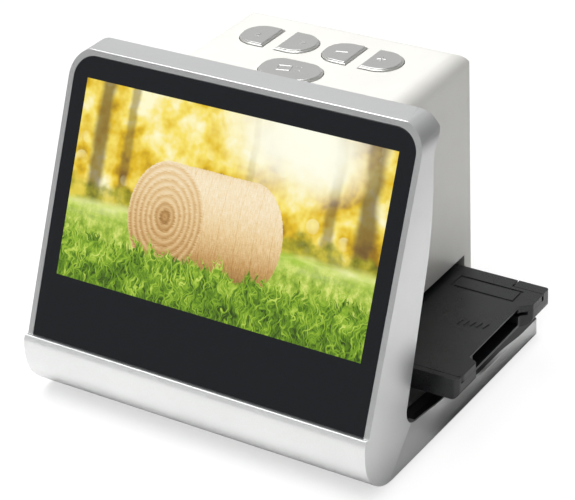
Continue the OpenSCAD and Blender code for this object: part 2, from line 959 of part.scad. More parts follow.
module sensor_board() {
    color("darkgreen")
        translate([-sensor_board_w / 2, holder_mid - sensor_board_w / 2, sensor_z])
            cube([sensor_board_w, sensor_board_w, board_t]);
}

module image_sensor() {
    color("darkslategray")
        translate([-sensor_size[0] / 2, holder_mid - sensor_size[1] / 2, sensor_z - sensor_size[2]])
            cube(sensor_size);
}

// ---- Boards -------------------------------------------------------------------------

module main_board() {
    color("darkgreen")
        difference() {
            block([-board_half, board_front, main_board_z], [board_half, board_rear, board_top]);
            block([-hood_w / 2 - 0.5, holder_mid - hood_d / 2 - 0.5, main_board_z - 1],
                [hood_w / 2 + 0.5, holder_mid + hood_d / 2 + 0.5, board_top + 1]);
            for (side = [-1, 1])
                for (y = [board_front + 9, board_rear - 7])
                    translate([side * (housing_in - 1.3), y, main_board_z - 1])
                        cylinder(r = 0.7, h = board_t + 2);
        }
}

module processor() {
    color("darkslategray") {
        translate([-board_half + 5.5, board_front + 15, board_top])
            cube(chip_size);
        translate([board_half - 7.5 - memory_size[0], board_front + 12, board_top])
            cube(memory_size);
    }
}

module display_cable() {
    leave = screen_foot + (display_foot + display_h * 0.42) * up + (bracket_depth + 0.05) * into;
    land = [board_front + cable_lap, board_top + 0.1];
    over = [[leave[0] + cable_lap, land[1] + cable_rise], [land[0] - cable_lap / 2, land[1]], land];
    color("orange")
        across(cable_w)
            polygon(concat(
                [leave],
                over,
                backwards([for (p = over) p + [0, cable_t]]),
                [leave + cable_t * up]
            ));
}

// A metal-shelled socket whose mouth faces the rear
module socket_shell(x, size, depth, wall) {
    mouth = housing_rear - 0.6;
    difference() {
        block([x - size[0] / 2, mouth - depth, board_top], [x + size[0] / 2, mouth, board_top + size[1]]);
        block([x - size[0] / 2 + wall, mouth - depth + 1.5, board_top + wall],
            [x + size[0] / 2 - wall, mouth + 1, board_top + size[1] - wall]);
    }
}

module usb_port() {
    tongue_y = housing_rear - 1.4;
    color("silver") {
        socket_shell(usb_x, usb_size, 7.5, 0.35);
        block([usb_x - 3.3, tongue_y - 6, board_top + usb_size[1] / 2 - 0.35],
            [usb_x + 3.3, tongue_y, board_top + usb_size[1] / 2 + 0.35]);
    }
}

module hdmi_port() {
    tongue_y = housing_rear - 1.6;
    color("silver") {
        socket_shell(hdmi_x, hdmi_size, 8, 0.35);
        block([hdmi_x - 4, tongue_y - 6, board_top + hdmi_size[1] / 2 - 0.3],
            [hdmi_x + 4, tongue_y, board_top + hdmi_size[1] / 2 + 0.3]);
    }
}

module card_socket() {
    color("silver")
        socket_shell(card_x, card_size, 22, 0.3);
}

module board_screws() {
    color("gray") {
        for (side = [-1, 1])
            for (y = [board_front + 9, board_rear - 7])
                translate([side * (housing_in - 1.3), y, 0]) {
                    translate([0, 0, board_top])
                        cylinder(r = 1.2, h = 0.7);
                    translate([0, 0, main_board_z - shelf_h + 0.2])
                        cylinder(r = 0.6, h = board_t + shelf_h - 0.1);
                }
        at_four(post_x, post_ys) {
            translate([0, 0, key_board_z - 0.8])
                cylinder(r = 1.7, h = 0.8);
            translate([0, 0, key_board_z - eps])
                cylinder(r = 0.8, h = board_t + 4);
        }
    }
}

module button_board() {
    board_y = [post_ys[0] - 3.5, post_ys[1] + 3.5];
    color("darkgreen")
        difference() {
            block([-post_x - 3.4, board_y[0], key_board_z], [post_x + 3.4, board_y[1], switch_z]);
            at_four(post_x, post_ys)
                translate([0, 0, key_board_z - 1])
                    cylinder(r = 0.8, h = board_t + 2);
        }
}

module key_switches() {
    color("darkslategray")
        key_places()
            translate([0, 0, switch_z]) {
                translate([-3, -3, 0])
                    cube([6, 6, switch_h - 0.9]);
                cylinder(r = 1.7, h = switch_h);
            }
}

// ---- Keys ---------------------------------------------------------------------------

// A key with a retaining flange under the body's skin and a stem over its switch
module key_body() {
    upright(flange_top - eps, key_top - key_edge)
        children(0);
    upright(key_top - key_edge - eps, key_top)
        children(1);
    upright(flange_top - flange_t, flange_top)
        children(2);
    translate([0, 0, stem_z])
        cylinder(r = stem_r, h = stem_len + eps);
}

module half_key(pair, half) {
    color("silver")
        at_half_key(pair, half)
            key_body() {
                half_key_plan(0);
                half_key_plan(-key_edge);
                half_key_plan(flange_out);
            }
}

module back_button() {
    half_key(-1, -1);
}

module forward_button() {
    half_key(-1, 1);
}

module minus_button() {
    half_key(1, -1);
}

module plus_button() {
    half_key(1, 1);
}

module scan_button() {
    color("silver")
        at_scan_key()
            key_body() {
                scan_key_plan(0);
                scan_key_plan(-key_edge);
                scan_key_plan(flange_out);
            }
}

// ---- Film holder ----------------------------------------------------------------------

// Plan of the closed holder, with a finger notch of depth d in each end
module holder_plan(front, rear, d) {
    notch_r = 1.2;
    notch_y = [holder_mid - notch_w / 2 - 1.6, holder_mid - notch_w / 2,
        holder_mid + notch_w / 2 - 1.2, holder_mid + notch_w / 2 + 2];
    polygon(rounded([
        [-holder_half, front, 2], [holder_half, front, 2],
        [holder_half, notch_y[0], notch_r], [holder_half - d, notch_y[1], notch_r],
        [holder_half - d, notch_y[2], notch_r], [holder_half, notch_y[3], notch_r],
        [holder_half, rear, 1], [-holder_half, rear, 1],
        [-holder_half, notch_y[3], notch_r], [-holder_half + d, notch_y[2], notch_r],
        [-holder_half + d, notch_y[1], notch_r], [-holder_half, notch_y[0], notch_r]
    ]));
}

module picture_window(z0, z1) {
    block([-picture_l / 2, holder_mid - picture_w / 2, z0],
        [picture_l / 2, holder_mid + picture_w / 2, z1]);
}

module magnet_places() {
    for (side = [-1, 1])
        translate([side * (holder_half - 14), holder_front + 6.5, 0])
            children();
}

module finger_pockets() {
    low_z = holder_z + pocket_floor;
    high_z = holder_top - pocket_lip;
    for (side = [-1, 1])
        translate([side * (holder_half - notch_d), holder_mid, (low_z + high_z) / 2])
            cube([2 * pocket_d, notch_w - 4, high_z - low_z], center = true);
}

module holder_base() {
    ear_x = holder_half - ear_l;
    trough_r = norm([holder_rear - hinge_y, hinge_z - split_z]) + slide_gap;
    color("dimgray")
        difference() {
            union() {
                intersection() {
                    upright(holder_z, split_z)
                        holder_plan(holder_front, holder_rear, notch_d);
                    along(holder_front - 1, holder_rear + 1)
                        polygon(rounded(box_corners(-holder_half, holder_z, holder_half,
                            holder_top, holder_end_r, 0)));
                }
                // Low rim along the front edge, and ears that hold the hinge pin
                intersection() {
                    upright(split_z - eps, holder_top)
                        holder_plan(holder_front, holder_rear, notch_d);
                    union() {
                        block([-holder_half, holder_front, split_z - 1],
                            [holder_half, holder_front + rim_front_w, holder_top - rim_drop]);
                        for (side = [-1, 1])
                            translate([side * (holder_half - ear_l / 2), holder_rear - ear_w / 2,
                                    holder_top - 2])
                                cube([ear_l, ear_w, 8], center = true);
                    }
                }
            }
            // Film channel and the window over the lamp
            block([-holder_half - 1, holder_mid - channel_w / 2, channel_z],
                [holder_half + 1, holder_mid + channel_w / 2, split_z + 1]);
            picture_window(holder_z - 1, split_z + 1);
            finger_pockets();
            // Trough that the lid's hinge and rear edge turn in, open to the rear
            translate([-ear_x - fit_gap, hinge_y, hinge_z])
                rotate([0, 90, 0])
                    cylinder(r = trough_r, h = 2 * (ear_x + fit_gap));
            block([-ear_x - fit_gap, hinge_y, hinge_z - trough_r],
                [ear_x + fit_gap, holder_rear + 1, holder_top + 1]);
            translate([-holder_half - 1, hinge_y, hinge_z])
                rotate([0, 90, 0])
                    cylinder(r = hinge_pin_r, h = holder_l + 1 - pin_cover);
            magnet_places()
                translate([0, 0, split_z - magnet_pocket])
                    cylinder(r = magnet_r + pin_clearance, h = 2);
        }
}

module lid_label() {
    label_x = [holder_half - 28.5, holder_half - 6.1];
    label_y = [holder_rear - 12.8, holder_rear - 5.6];
    line_w = 0.8;
    depth = 0.35;
    difference() {
        block([label_x[0], label_y[0], holder_top - depth], [label_x[1], label_y[1], holder_top + 1]);
        block([label_x[0] + line_w, label_y[0] + line_w, holder_top - 1],
            [label_x[1] - line_w, label_y[1] - line_w, holder_top + 2]);
    }
}

module holder_lid() {
    ear_x = holder_half - ear_l;
    lid_front = holder_front + rim_front_w + lid_fit;
    barrel_x = ear_x - 0.2;
    color("dimgray")
        difference() {
            union() {
                intersection() {
                    upright(split_z, holder_top)
                        holder_plan(lid_front, holder_rear, notch_d);
                    union() {
                        block([-holder_half, lid_front, split_z],
                            [holder_half, holder_rear - ear_w - lid_fit, holder_top]);
                        block([-barrel_x, lid_front, split_z], [barrel_x, holder_rear, holder_top]);
                    }
                }
                translate([-barrel_x, hinge_y, hinge_z])
                    rotate([0, 90, 0])
                        cylinder(r = hinge_r, h = 2 * barrel_x);
            }
            picture_window(split_z - 1, holder_top + 1);
            translate([-holder_half, hinge_y, hinge_z])
                rotate([0, 90, 0])
                    cylinder(r = hinge_pin_r + pin_clearance, h = holder_l);
            lid_label();
            finger_pockets();
            // Small slot in each end face, beside the ear
            for (side = [-1, 1])
                translate([side * holder_half, holder_rear - ear_w - lid_fit - 0.3, split_z])
                    cube([2, 1.4, 2 * lid_t - 0.8], center = true);
            magnet_places()
                translate([0, 0, split_z - 1])
                    cylinder(r = magnet_r + pin_clearance, h = 1 + magnet_pocket);
        }
}

module holder_hinge_pin() {
    pin_end = 0.8;
    color("gray")
        translate([-holder_half + pin_end, hinge_y, hinge_z])
            rotate([0, 90, 0])
                cylinder(r = hinge_pin_r, h = holder_l - pin_end - pin_cover - 0.2);
}

module holder_magnets() {
    color("gray")
        magnet_places()
            translate([0, 0, split_z - magnet_pocket])
                cylinder(r = magnet_r, h = magnet_t);
}

module lid_magnets() {
    color("gray")
        magnet_places()
            translate([0, 0, split_z + magnet_pocket - magnet_t])
                cylinder(r = magnet_r, h = magnet_t);
}

front_frame();
screen_glass();
display_panel();
display_bracket();
bracket_screws();
screen_back_cover();
upper_housing();
base_plate();
arm_liners();
rubber_feet();
base_screws();
light_box();
light_diffuser();
light_board();
light_leds();
holder_guide();
guide_screws();
camera_hood();
lens_barrel();
lens_element();
sensor_board();
image_sensor();
main_board();
processor();
display_cable();
usb_port();
hdmi_port();
card_socket();
board_screws();
button_board();
key_switches();
back_button();
forward_button();
minus_button();
plus_button();
scan_button();
holder_base();
holder_lid();
holder_hinge_pin();
holder_magnets();
lid_magnets();
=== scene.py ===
import json
import math

import bmesh
import bpy
import numpy as np
from mathutils import Euler, Matrix, Vector


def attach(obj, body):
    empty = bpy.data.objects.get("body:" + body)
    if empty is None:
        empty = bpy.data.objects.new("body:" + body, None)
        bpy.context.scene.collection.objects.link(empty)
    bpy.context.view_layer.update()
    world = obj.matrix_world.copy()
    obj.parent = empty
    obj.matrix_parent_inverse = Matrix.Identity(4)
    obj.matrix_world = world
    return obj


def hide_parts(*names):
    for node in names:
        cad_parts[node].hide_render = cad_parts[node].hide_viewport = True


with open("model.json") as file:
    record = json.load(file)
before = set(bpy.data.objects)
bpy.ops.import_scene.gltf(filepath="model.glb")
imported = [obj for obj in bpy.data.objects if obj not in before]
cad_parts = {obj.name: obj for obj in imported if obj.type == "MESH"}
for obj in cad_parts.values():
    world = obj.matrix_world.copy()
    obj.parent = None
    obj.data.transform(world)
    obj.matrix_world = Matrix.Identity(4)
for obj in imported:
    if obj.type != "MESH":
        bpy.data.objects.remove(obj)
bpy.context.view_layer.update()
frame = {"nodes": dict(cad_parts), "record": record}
record = frame["record"]
BODY_OF = {node: body for body, nodes in record["behaviour"]["bodies"].items() for node in nodes}
SLOT_OF = {part["node"]: part["material_slot"] for part in record["subparts"]}
MM = 0.001

# Sizes shared with the solids, in millimetres and degrees
SCREEN_TILT = 23.8
SCREEN_FOOT = (0.0, -52.095, 22.5)
PICTURE_FOOT = 21.3
PICTURE_SIZE = (110.7, 62.5)
HOLDER_TOP = 26.65
KEY_TOP = 99.5

# An edge is sharp where it turns by more than SHARP degrees, and dissolved below FLAT degrees.
# Corners within MERGE millimetres are one.
SHARP, FLAT, MERGE = 30.0, 0.3, 0.002


# ---- Shader graphs ------------------------------------------------------------------

def paint(red, green, blue):
    """A display colour from 0 to 255 as the linear colour with the same look."""
    channels = [c / 255 for c in (red, green, blue)]
    return tuple(c / 12.92 if c <= 0.04045 else ((c + 0.055) / 1.055) ** 2.4 for c in channels) + (1.0,)


def tone(level, change=0):
    """A display colour, made lighter or darker by the same change in all channels."""
    return paint(*(max(c + change, 0) for c in level))


class Value:
    """One output socket of a node tree; arithmetic on it adds Math nodes."""

    def __init__(self, graph, socket):
        self.graph, self.socket = graph, socket

    def math(self, operation, *values):
        return self.graph.node("ShaderNodeMath", {"operation": operation}, dict(enumerate(values)))

    def __add__(self, other):
        return self.math("ADD", self, other)

    def __sub__(self, other):
        return self.math("SUBTRACT", self, other)

    def __rsub__(self, other):
        return self.math("SUBTRACT", other, self)

    def __mul__(self, other):
        return self.math("MULTIPLY", self, other)

    def __truediv__(self, other):
        return self.math("DIVIDE", self, other)

    def __pow__(self, other):
        return self.math("POWER", self, other)

    def __abs__(self):
        return self.math("ABSOLUTE", self)

    def __gt__(self, other):
        return self.math("GREATER_THAN", self, other)

    def __lt__(self, other):
        return self.math("LESS_THAN", self, other)

    __radd__, __rmul__ = __add__, __mul__

    def least(self, other):
        return self.math("MINIMUM", self, other)

    def most(self, other):
        return self.math("MAXIMUM", self, other)

    def sine(self):
        return self.math("SINE", self)

    def fraction(self):
        return self.math("FRACT", self)

    def rise(self, low, high, start=0.0, end=1.0):
        """start below low, end above high and an S-curve between; mirrored where low > high."""
        return self.graph.node("ShaderNodeMapRange", {"interpolation_type": "SMOOTHSTEP"},
                               {0: self, 1: low, 2: high, 3: start, 4: end})


class Graph:
    """A node tree under construction."""

    def __init__(self, tree):
        self.tree = tree

    def node(self, kind, settings=None, values=None, output=0):
        """Adds a node: its settings first, with a ramp's stops under "stops", then its sockets."""
        node = self.tree.nodes.new(kind)
        for name, setting in (settings or {}).items():
            if name == "stops":
                ramp = node.color_ramp
                while len(ramp.elements) < len(setting):
                    ramp.elements.new(1.0)
                for element, (place, colour) in zip(ramp.elements, setting):
                    element.position, element.color = place, tone(colour)
            else:
                setattr(node, name, setting)
        for key, value in (values or {}).items():
            if isinstance(value, Value):
                self.tree.links.new(value.socket, node.inputs[key])
            else:
                node.inputs[key].default_value = value
        return Value(self, node.outputs[output])

    def split(self, vector):
        parts = self.node("ShaderNodeSeparateXYZ", values={0: vector})
        return [Value(self, parts.socket.node.outputs[i]) for i in range(3)]


class Finish(Graph):
    """A material under construction, with a Principled shader as its end."""

    def __init__(self, name, **sockets):
        self.material = bpy.data.materials.new(name)
        self.material.use_nodes = True
        super().__init__(self.material.node_tree)
        self.shader = self.tree.nodes["Principled BSDF"]
        self.set(**sockets)

    def set(self, **sockets):
        """Links or sets inputs of the shader, with _ for each space of their names."""
        for name, value in sockets.items():
            target = self.shader.inputs[name.replace("_", " ")]
            if isinstance(value, Value):
                self.tree.links.new(value.socket, target)
            else:
                target.default_value = value

    def place(self, turn=(0.0, 0.0, 0.0), centre=(0.0, 0.0, 0.0)):
        """Object coordinates in millimetres about a centre, turned by degrees."""
        spot = self.node("ShaderNodeTexCoord", output="Object")
        angles = Euler([math.radians(a) for a in turn])
        return self.node("ShaderNodeMapping", {"vector_type": "POINT"}, {
            "Vector": spot, "Location": -(angles.to_matrix() @ Vector(centre)), "Rotation": angles,
            "Scale": (1 / MM,) * 3})

    def join(self, x, y):
        return self.node("ShaderNodeCombineXYZ", values={0: x, 1: y})

    def noise(self, vector, scale, detail=2.0, roughness=0.5, distortion=0.0):
        """Noise from 0 to 1, with scale in features per unit of the vector."""
        return self.node("ShaderNodeTexNoise", None, {
            "Vector": vector, "Scale": scale, "Detail": detail, "Roughness": roughness,
            "Distortion": distortion})

    def mix(self, share, first, second):
        """A colour between two others; share 0 gives the first."""
        return self.node("ShaderNodeMix", {"data_type": "RGBA"}, {0: share, 6: first, 7: second}, output=2)

    def ramp(self, value, stops):
        """A colour picked from stops of (value, display colour)."""
        return self.node("ShaderNodeValToRGB", {"stops": stops}, {0: value})

    def bump(self, height, distance, **sockets):
        """A normal from a height, in units of a distance in metres."""
        return self.node("ShaderNodeBump", None,
                         {"Height": height, "Distance": distance, "Strength": 1.0, **sockets})


# ---- Finishes -------------------------------------------------------------------------

SILVER_METALLIC = 0.85


def silver_paint(name, level):
    """Metallic paint: fine flakes that vary the roughness, over a faint orange peel."""
    f = Finish(name, Metallic=SILVER_METALLIC, Coat_Weight=0.25, Coat_Roughness=0.25)
    at = f.place()
    flakes = f.noise(at, 5.0, 1.0, 0.7)
    clouds = f.noise(at, 0.06)
    peel = f.noise(at, 1.1)
    flaked = f.mix(flakes.rise(0.3, 0.7), tone(level, -4), tone(level, 3))
    f.set(Base_Color=f.mix(clouds.rise(0.35, 0.65) * 0.12, flaked, tone(level, -16)),
          Roughness=0.33 + (flakes - 0.5) * 0.1 + (clouds - 0.5) * 0.04,
          Normal=f.bump(peel + flakes * 0.3, 6e-6))
    return f


def frame_finish():
    """Silver paint, with painted shade in near-black along the inner edges of the arms' tops."""
    arm_front, arm_rear, arm_top = -25.0, 54.4, 15.5
    lip_front, lip_foot, lip_dulling = -53.0, 21.5, 0.25
    crease_y, crease_z, crease_slope = -40.8, 2.0, 1.1
    lean_height, lean_reach = -0.1, 20.0

    f = silver_paint("silver_frame_paint", (230, 231, 231))
    painted, sheen, peel = (Value(f, f.shader.inputs[name].links[0].from_socket)
                            for name in ("Base Color", "Roughness", "Normal"))
    x, y, z = f.split(f.place())
    # The edge of the painted shade moves out as the arm flares
    shade_edge = 62.2 + y.rise(arm_front, -5.0) * 0.6 + y.rise(28.0, 43.0) * 1.2
    # Painted shade: near-black inside that edge on the arms' tops, behind the crook
    painted_shade = (abs(x) < shade_edge) * (z < arm_top) * (y > arm_front) * (y < arm_rear)
    lip = (y < lip_front) * (z > lip_foot)
    # Behind the crease beside the chin the side leans under a little, which fades out
    behind = (y - crease_y - (z - crease_z) * crease_slope).most(0.0).least(lean_reach)
    lean = (behind - behind * behind / (2.0 * lean_reach)) * lean_height
    # Where the shade is painted, near-black and no metal replace the silver
    f.set(Base_Color=f.mix(painted_shade, painted, paint(14, 14, 15)), Metallic=(1.0 - painted_shade) * SILVER_METALLIC,
          Roughness=sheen + lip * lip_dulling, Normal=f.bump(lean, MM, Normal=peel))
    return f.material


def white_plastic():
    """Glossy moulded plastic with a faint flow pattern and specks of dust in its sheen."""
    f = Finish("white_moulded_plastic", Coat_Weight=0.12, Coat_Roughness=0.2)
    at = f.place()
    flow = f.noise(at, 0.035, 3.0, 0.6)
    grain = f.noise(at, 2.6)
    f.set(Base_Color=f.mix(flow.rise(0.3, 0.7), paint(244, 243, 238), paint(238, 237, 231)),
          Roughness=0.34 + (flow - 0.5) * 0.1 + (grain - 0.5) * 0.08,
          Normal=f.bump(grain, 1e-5))
    return f.material


def eroded_plastic(name, level, roughness, grain_height):
    """Plastic from a spark-eroded mould: a fine pitted grain with slightly worn, paler tops."""
    f = Finish(name)
    at = f.place()
    pits = f.noise(at, 3.4, 3.0, 0.65)
    haze = f.noise(at, 0.09, 3.0)
    pitted = f.mix(pits.rise(0.35, 0.7), tone(level, -6), tone(level, 7))
    f.set(Base_Color=f.mix(haze.rise(0.4, 0.75) * 0.25, pitted, tone(level, 12)),
          Roughness=roughness + (pits - 0.5) * 0.2 + (haze - 0.5) * 0.12,
          Normal=f.bump(pits, grain_height))
    return f.material


def turned_steel(name, level, roughness):
    """Machined steel with fine turning marks."""
    f = Finish(name, Metallic=1.0)
    marks = f.noise(f.place(), 7.0, 2.0, 0.7)
    f.set(Base_Color=f.mix(marks, tone(level, -14), tone(level)),
          Roughness=roughness + (marks - 0.5) * 0.2, Normal=f.bump(marks, 1e-5))
    return f.material


def circuit_board():
    """Green lacquered board with faint copper tracks beneath."""
    f = Finish("lacquered_circuit_board", Coat_Weight=0.4, Coat_Roughness=0.2)
    x, y, _ = f.split(f.place())
    lanes = (x * 4.4).sine().rise(0.4, 0.7) * f.noise(f.join(x, y), 0.12, 1.0).rise(0.45, 0.5)
    f.set(Base_Color=f.mix(lanes, paint(14, 74, 38), paint(30, 104, 56)),
          Roughness=0.36 - lanes * 0.08, Normal=f.bump(lanes, 3e-5))
    return f.material


def plain_grain(name, level, roughness, **sockets):
    """A small part's plastic, rubber or film: a fine grain in tone, sheen and surface."""
    f = Finish(name, **sockets)
    grain = f.noise(f.place(), 2.2, 3.0, 0.6)
    f.set(Base_Color=f.mix(grain, tone(level, -10), tone(level)),
          Roughness=roughness + (grain - 0.5) * 0.18, Normal=f.bump(grain, 2e-5))
    return f.material


# ---- Picture on the screen --------------------------------------------------------------
# All of it is drawn from u and v, in millimetres right of the picture's middle and above its foot.

CROWN_TONES = [(0.30, (92, 70, 22)), (0.42, (168, 128, 18)), (0.50, (226, 188, 36)),
               (0.58, (248, 226, 104)), (0.68, (255, 250, 206))]
HEDGE_TONES = [(0.34, (84, 96, 20)), (0.5, (158, 156, 36)), (0.66, (222, 204, 70))]
FIELD_TONES = [(0.35, (176, 206, 74)), (0.5, (220, 232, 128)), (0.68, (244, 246, 176))]
STRAW_SIDE_TONES = [(0.10, (128, 88, 42)), (0.36, (196, 152, 92)), (0.58, (234, 204, 152)),
                    (0.80, (252, 238, 208)), (0.96, (255, 252, 240))]
STRAW_END_TONES = [(0.18, (120, 82, 40)), (0.42, (190, 146, 88)), (0.62, (230, 198, 146)),
                   (0.84, (250, 234, 202))]
MEADOW_TONES = [(0.32, (110, 146, 34)), (0.5, (164, 192, 66)), (0.68, (222, 230, 122))]
GRASS_TONES = [(0.34, (46, 70, 12)), (0.46, (92, 132, 24)), (0.55, (140, 178, 44)),
               (0.66, (196, 218, 92)), (0.80, (240, 244, 168))]
# Distant trunks: place, width and darkness
TRUNKS = [(-47.0, 2.6, 0.75), (-36.5, 1.5, 0.55), (37.0, 2.0, 0.6), (49.5, 3.0, 0.8), (8.0, 1.1, 0.35)]


def woods(f, at, u, v, wobble):
    """Crowns of trees out of focus, with discs of light, a bright opening and distant trunks."""
    leaves = f.noise(at, 0.055, 3.0, 0.55, 0.4) * 0.75 + f.noise(at, 0.2, 2.0, 0.6) * 0.25
    crowns = f.ramp(leaves + v.rise(20.0, 64.0) * 0.08, CROWN_TONES)
    discs = f.node("ShaderNodeTexVoronoi", {"feature": "F1"}, {"Vector": at, "Scale": 0.16})
    glow = discs.rise(0.42, 0.34) * f.noise(at, 0.11, 1.0).rise(0.48, 0.62)
    crowns = f.mix(glow * 0.55, crowns, paint(255, 246, 176))
    # The opening is an ellipse with a ragged edge
    across, upward = u - 24.0, v - 60.0
    opening = (across * across / 900.0 + upward * upward / 420.0 + wobble * 0.6).rise(1.5, 0.2)
    crowns = f.mix(opening, crowns, paint(255, 255, 238))
    for place, width, shade in TRUNKS:
        beside = abs(u - place + (wobble - 0.5) * 5.0)
        trunk = beside.rise(width * 1.5, width * 0.5) * v.rise(24.0, 30.0)
        crowns = f.mix(trunk * shade * (1.0 - opening), crowns, paint(96, 74, 48))
    return crowns


def hedge_and_field(f, at, u, v, wobble, scenery):
    """A sunlit hedge before the scenery, and a field before the hedge."""
    hedge_top = 31.0 + (f.noise(at, 0.12, 3.0) - 0.5) * 14.0
    hedge = (v - hedge_top).rise(1.5, -1.5)
    scenery = f.mix(hedge * 0.85, scenery, f.ramp(f.noise(at, 0.16, 3.0), HEDGE_TONES))
    field_top = 25.5
    field = (v - field_top - (wobble - 0.5) * 3.0).rise(1.6, -1.6)
    furrows = f.noise(f.join(u * 0.35, v * 1.6), 0.16, 3.0)
    return f.mix(field, scenery, f.ramp(furrows, FIELD_TONES))


def straw_bale(f, at, u, v, scenery):
    """A drum of straw seen from its front left and lit from above, and the share that it covers."""
    near_u, far_u, middle_v = -19.0, 11.0, 26.5
    near_half_width, far_half_width, half_height = 13.6, 12.0, 17.2
    up = (v - middle_v) / half_height
    near = (u - near_u) / near_half_width
    far = (u - far_u) / far_half_width
    ragged = (f.noise(at, 1.3, 3.0) - 0.5) * 0.05
    radius = (near * near + up * up) ** 0.5
    near_end = (radius + ragged).rise(1.01, 0.985)
    far_end = ((far * far + up * up) ** 0.5 + ragged).rise(1.01, 0.985)
    drum = (abs(up) + ragged).rise(1.0, 0.98) * (u > near_u) * (u < far_u)

    level_straw = f.noise(f.join(u * 0.28, v * 2.2), 1.5, 4.0, 0.7, 0.3)
    upright_straw = f.noise(f.join(u * 2.4, v * 0.3), 1.3, 4.0, 0.7, 0.3)
    bulge = (1.0 - up * up).most(0.0) ** 0.5
    side_light = (up * 0.34 + bulge * 0.3 + 0.28 + (upright_straw - 0.5) * 0.5
                  + (level_straw - 0.5) * 0.22)
    twine = abs((u * 0.16 + bulge * 0.4).fraction() - 0.5).rise(0.05, 0.0)
    side = f.ramp(side_light - twine * 0.06, STRAW_SIDE_TONES)
    rings = ((radius + (level_straw - 0.5) * 0.12) * 46.0).sine()
    end_light = 0.56 + rings * 0.07 + (level_straw - 0.5) * 0.5 + up * 0.16 - radius.rise(0.35, 0.0) * 0.2
    end = f.ramp(end_light, STRAW_END_TONES)
    scenery = f.mix(far_end.most(drum), scenery, side)
    return f.mix(near_end, scenery, end), near_end.most(far_end.most(drum))


def tall_grass(f, at, u, v, wobble, scenery, hidden):
    """Grass in front: leaning blades, dark between and lit at the tips, over a blurred meadow.

    The meadow stays behind what is hidden; the blades don't.
    """
    lean = u + v * 0.32 + (f.noise(at, 0.22) - 0.5) * 9.0
    lean_back = u - v * 0.4 + (f.noise(at, 0.19) - 0.5) * 10.0
    blades = f.noise(f.join(lean, v * 0.13), 1.25, 3.0, 0.6)
    cross_blades = f.noise(f.join(lean_back, v * 0.15 + 40.0), 1.0, 3.0, 0.6)
    tips = 15.5 + (f.noise(f.join(lean, 3.0), 0.8, 3.0, 0.7) - 0.5) * 20.0 + (wobble - 0.5) * 8.0
    patch = f.noise(at, 0.09)
    light = blades.most(cross_blades) + v.rise(22.0, 0.0) * -0.1 + (patch - 0.5) * 0.35 + 0.02
    meadow_top = 22.5
    meadow = (v - meadow_top - (patch - 0.5) * 6.0).rise(5.0, -5.0)
    meadow_tone = f.ramp(f.noise(f.join(u * 0.7, v * 0.5), 0.5, 4.0, 0.65), MEADOW_TONES)
    scenery = f.mix(meadow * (1.0 - hidden), scenery, meadow_tone)
    return f.mix((v - tips).rise(0.8, -0.8), scenery, f.ramp(light, GRASS_TONES))


def screen_finish():
    """Black-printed glass with the lit picture behind its clear window."""
    f = Finish("screen_glass_and_picture", Coat_Weight=0.3, Coat_Roughness=0.03)
    u, up_slope, out = f.split(f.place((SCREEN_TILT - 90.0, 0.0, 0.0), SCREEN_FOOT))
    v = up_slope - PICTURE_FOOT
    half_width, half_height = (size / 2 for size in PICTURE_SIZE)
    lit = (abs(u) < half_width) * (abs(v - half_height) < half_height) * (out > -0.4)
    at = f.join(u, v)
    wobble = f.noise(at, 0.07, 3.0)
    picture = hedge_and_field(f, at, u, v, wobble, woods(f, at, u, v, wobble))
    picture, hidden = straw_bale(f, at, u, v, picture)
    picture = tall_grass(f, at, u, v, wobble, picture, hidden)
    smears = f.noise(f.place(), 0.05, 4.0, 0.6)
    f.set(Emission_Color=f.mix(lit, (0.0, 0.0, 0.0, 1.0), picture), Emission_Strength=1.0,
          Base_Color=f.mix(lit, paint(16, 19, 24), paint(4, 4, 4)),
          Roughness=0.05 + smears.rise(0.4, 0.8) * 0.06)
    return f.material


FINISHES = {
    "silver_paint": frame_finish(),
    "silver_key": silver_paint("silver_key_paint", (212, 212, 210)).material,
    "white_plastic": white_plastic(),
    "black_glass": screen_finish(),
    "holder_plastic": eroded_plastic("black_holder_plastic", (34, 35, 37), 0.3, 2e-5),
    "black_plastic": eroded_plastic("black_inner_plastic", (24, 24, 26), 0.7, 3e-5),
    "grey_plastic": eroded_plastic("grey_base_plastic", (226, 227, 226), 0.4, 2e-5),
    "foot_rubber": plain_grain("foot_rubber", (46, 46, 46), 0.8),
    "sheet_steel": turned_steel("pressed_steel", (190, 190, 190), 0.34),
    "screw_steel": turned_steel("screw_steel", (176, 176, 176), 0.3),
    "port_metal": turned_steel("socket_steel", (196, 196, 196), 0.28),
    "magnet_metal": turned_steel("plated_magnet", (186, 186, 186), 0.2),
    "circuit_board": circuit_board(),
    "diffuser_plastic": plain_grain("opal_diffuser", (238, 238, 232), 0.5),
    "led_plastic": plain_grain("lamp_chip", (236, 226, 168), 0.3),
    "lens_glass": plain_grain("coated_lens", (120, 140, 160), 0.08, Transmission_Weight=0.8, IOR=1.5),
    "chip_plastic": plain_grain("chip_epoxy", (44, 44, 46), 0.55),
    "cable_film": plain_grain("flat_cable_film", (190, 128, 42), 0.35),
    "display": plain_grain("display_module", (40, 40, 44), 0.3),
}


# ---- Pieces ---------------------------------------------------------------------------

def add_object(name, data):
    """A new object at the origin, linked into the scene."""
    made = bpy.data.objects.new(name, data)
    bpy.context.scene.collection.objects.link(made)
    return made


def clothe(node):
    """Gives a CAD node's own mesh the finish of its slot."""
    mesh = frame["nodes"][node].data
    mesh.materials.clear()
    mesh.materials.append(FINISHES[SLOT_OF[node]])


